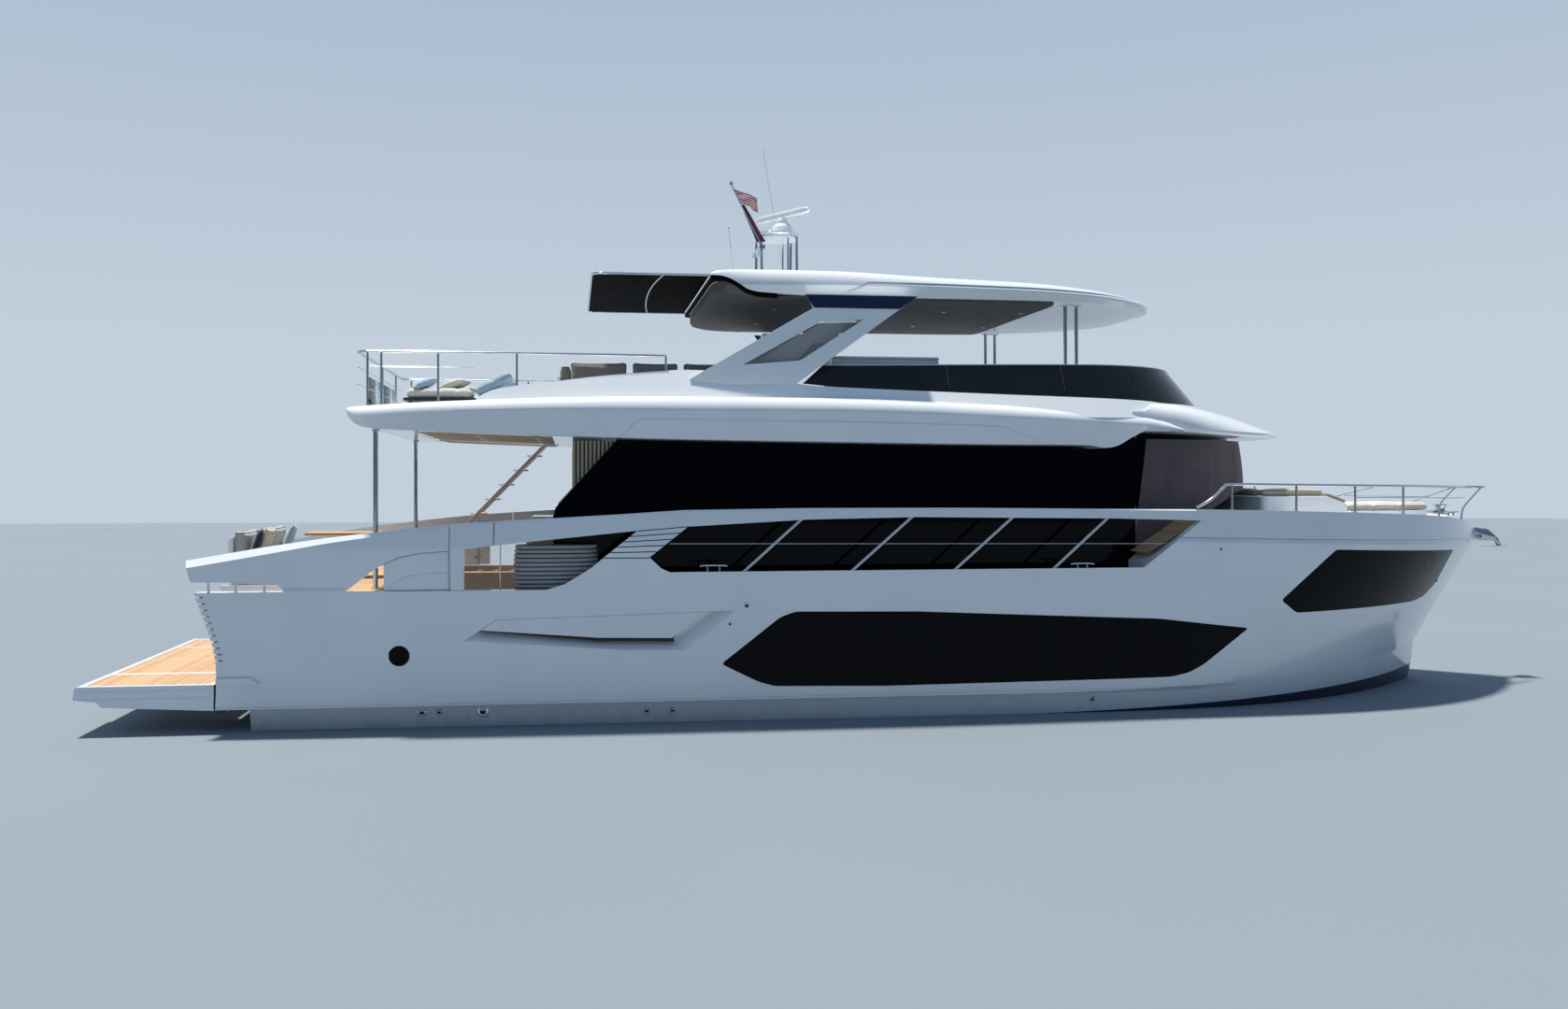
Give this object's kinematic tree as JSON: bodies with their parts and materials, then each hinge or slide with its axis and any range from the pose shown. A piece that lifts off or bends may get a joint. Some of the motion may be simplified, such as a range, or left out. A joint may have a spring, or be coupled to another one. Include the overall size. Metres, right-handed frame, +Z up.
{
  "type": "flybridge motor yacht",
  "caption": "Enclosed motor yacht afloat with glazed saloon, flybridge under a hardtop, bathing platform and steerable drive pods.",
  "frame": {"origin": "amidships on the centreline at the waterline", "axes": "+X to the bow, +Y to port, +Z up; rest pose afloat, gates and doors shut, platform level"},
  "size_m": [23.51, 5.768, 10.9714],
  "materials": {
    "gelcoat": "polished white gelcoat",
    "dark_glass": "near black tinted glass",
    "teak": "weathered teak planking",
    "stainless_steel": "polished stainless steel",
    "black_canvas": "black acrylic canvas",
    "mesh_cloth": "dark grey open mesh",
    "cushion_cloth": "off-white outdoor cloth",
    "bronze": "cast bronze",
    "coated_metal": "dark coating"
  },
  "bodies": {
    "yacht": {"hull": "gelcoat", "quarter_wing_port": "gelcoat", "quarter_wing_starboard": "gelcoat", "bulwark_port": "gelcoat", "bulwark_starboard": "gelcoat", "platform_wing_port": "gelcoat", "platform_wing_starboard": "gelcoat", "deckhouse": "gelcoat", "upper_deck": "gelcoat", "fly_coaming": "gelcoat", "arch_port": "gelcoat", "arch_starboard": "gelcoat", "hardtop": "gelcoat", "mast": "gelcoat", "fly_stairs": "gelcoat", "fly_bar": "gelcoat", "helm_console": "gelcoat", "hull_window_port": "dark_glass", "hull_window_starboard": "dark_glass", "bow_window_port": "dark_glass", "bow_window_starboard": "dark_glass", "saloon_glass_port": "dark_glass", "saloon_glass_starboard": "dark_glass", "windscreen": "dark_glass", "aft_glass": "dark_glass", "fly_windscreen": "dark_glass", "cockpit_table": "teak", "cockpit_cabinet": "teak", "fly_table": "teak", "awning_frame": "stainless_steel", "front_poles_port": "stainless_steel", "front_poles_starboard": "stainless_steel", "cockpit_pole_port": "stainless_steel", "cockpit_pole_starboard": "stainless_steel", "fly_rail": "stainless_steel", "bow_rail_port": "stainless_steel", "bow_rail_starboard": "stainless_steel", "bow_roller": "stainless_steel", "anchor": "stainless_steel", "awning": "black_canvas", "windscreen_cover": "mesh_cloth", "cockpit_sofa": "cushion_cloth", "fly_sofa": "cushion_cloth", "helm_seats": "cushion_cloth", "fore_seat": "cushion_cloth", "fore_sunpad": "cushion_cloth", "engines": "coated_metal"},
    "gate_port": {"boarding_gate_port": "gelcoat"},
    "gate_starboard": {"boarding_gate_starboard": "gelcoat"},
    "saloon_door": {"sliding_door": "dark_glass"},
    "platform_arms": {"lift_arms": "stainless_steel"},
    "platform_deck": {"lift_platform": "teak"},
    "transom_door": {"garage_door": "gelcoat"},
    "radar": {"radar_scanner": "gelcoat"},
    "pod_port": {"pod_port": "coated_metal"},
    "pod_starboard": {"pod_starboard": "coated_metal"},
    "propeller_aft_port": {"propeller_aft_port": "bronze"},
    "propeller_aft_starboard": {"propeller_aft_starboard": "bronze"},
    "propeller_fore_port": {"propeller_fore_port": "bronze"},
    "propeller_fore_starboard": {"propeller_fore_starboard": "bronze"}
  },
  "joints": [
    {"name": "gate_port_hinge", "type": "hinge", "parent": "yacht", "child": "gate_port", "pos_m": [-6.385, 2.7, 2.4], "axis": [0, 0, -1], "range_deg": [0, 90]},
    {"name": "gate_starboard_hinge", "type": "hinge", "parent": "yacht", "child": "gate_starboard", "pos_m": [-6.385, -2.7, 2.4], "axis": [0, 0, 1], "range_deg": [0, 90]},
    {"name": "saloon_door_slide", "type": "slide", "parent": "yacht", "child": "saloon_door", "axis": [0, 1, 0], "range_m": [0, 1.25]},
    {"name": "platform_lift", "type": "hinge", "parent": "yacht", "child": "platform_arms", "pos_m": [-9.32, 0, 0.12], "axis": [0, 1, 0], "range_deg": [-46, 0]},
    {"name": "platform_level", "type": "hinge", "parent": "platform_arms", "child": "platform_deck", "pos_m": [-10.35, 0, 0.45], "axis": [0, 1, 0], "range_deg": [0, 46]},
    {"name": "garage_door_hinge", "type": "hinge", "parent": "yacht", "child": "transom_door", "pos_m": [-9.812, 0, 1.786], "axis": [0, 1, 0], "range_deg": [0, 85]},
    {"name": "radar_spin", "type": "hinge", "parent": "yacht", "child": "radar", "pos_m": [-1.205, 0, 7.9], "axis": [0, 0, 1], "continuous": true},
    {"name": "pod_port_steer", "type": "hinge", "parent": "yacht", "child": "pod_port", "pos_m": [-7.35, 1.15, -0.8], "axis": [0, 0, 1], "range_deg": [-28, 28]},
    {"name": "propeller_aft_port_spin", "type": "hinge", "parent": "pod_port", "child": "propeller_aft_port", "pos_m": [-6.87, 1.15, -1.32], "axis": [1, 0, 0], "continuous": true},
    {"name": "propeller_fore_port_spin", "type": "hinge", "parent": "pod_port", "child": "propeller_fore_port", "pos_m": [-6.72, 1.15, -1.32], "axis": [1, 0, 0], "continuous": true},
    {"name": "pod_starboard_steer", "type": "hinge", "parent": "yacht", "child": "pod_starboard", "pos_m": [-7.35, -1.15, -0.8], "axis": [0, 0, 1], "range_deg": [-28, 28]},
    {"name": "propeller_aft_starboard_spin", "type": "hinge", "parent": "pod_starboard", "child": "propeller_aft_starboard", "pos_m": [-6.87, -1.15, -1.32], "axis": [1, 0, 0], "continuous": true},
    {"name": "propeller_fore_starboard_spin", "type": "hinge", "parent": "pod_starboard", "child": "propeller_fore_starboard", "pos_m": [-6.72, -1.15, -1.32], "axis": [1, 0, 0], "continuous": true}
  ],
  "couplings": [
    {"joint": "platform_level", "follows": "platform_lift", "ratio": -1}
  ]
}
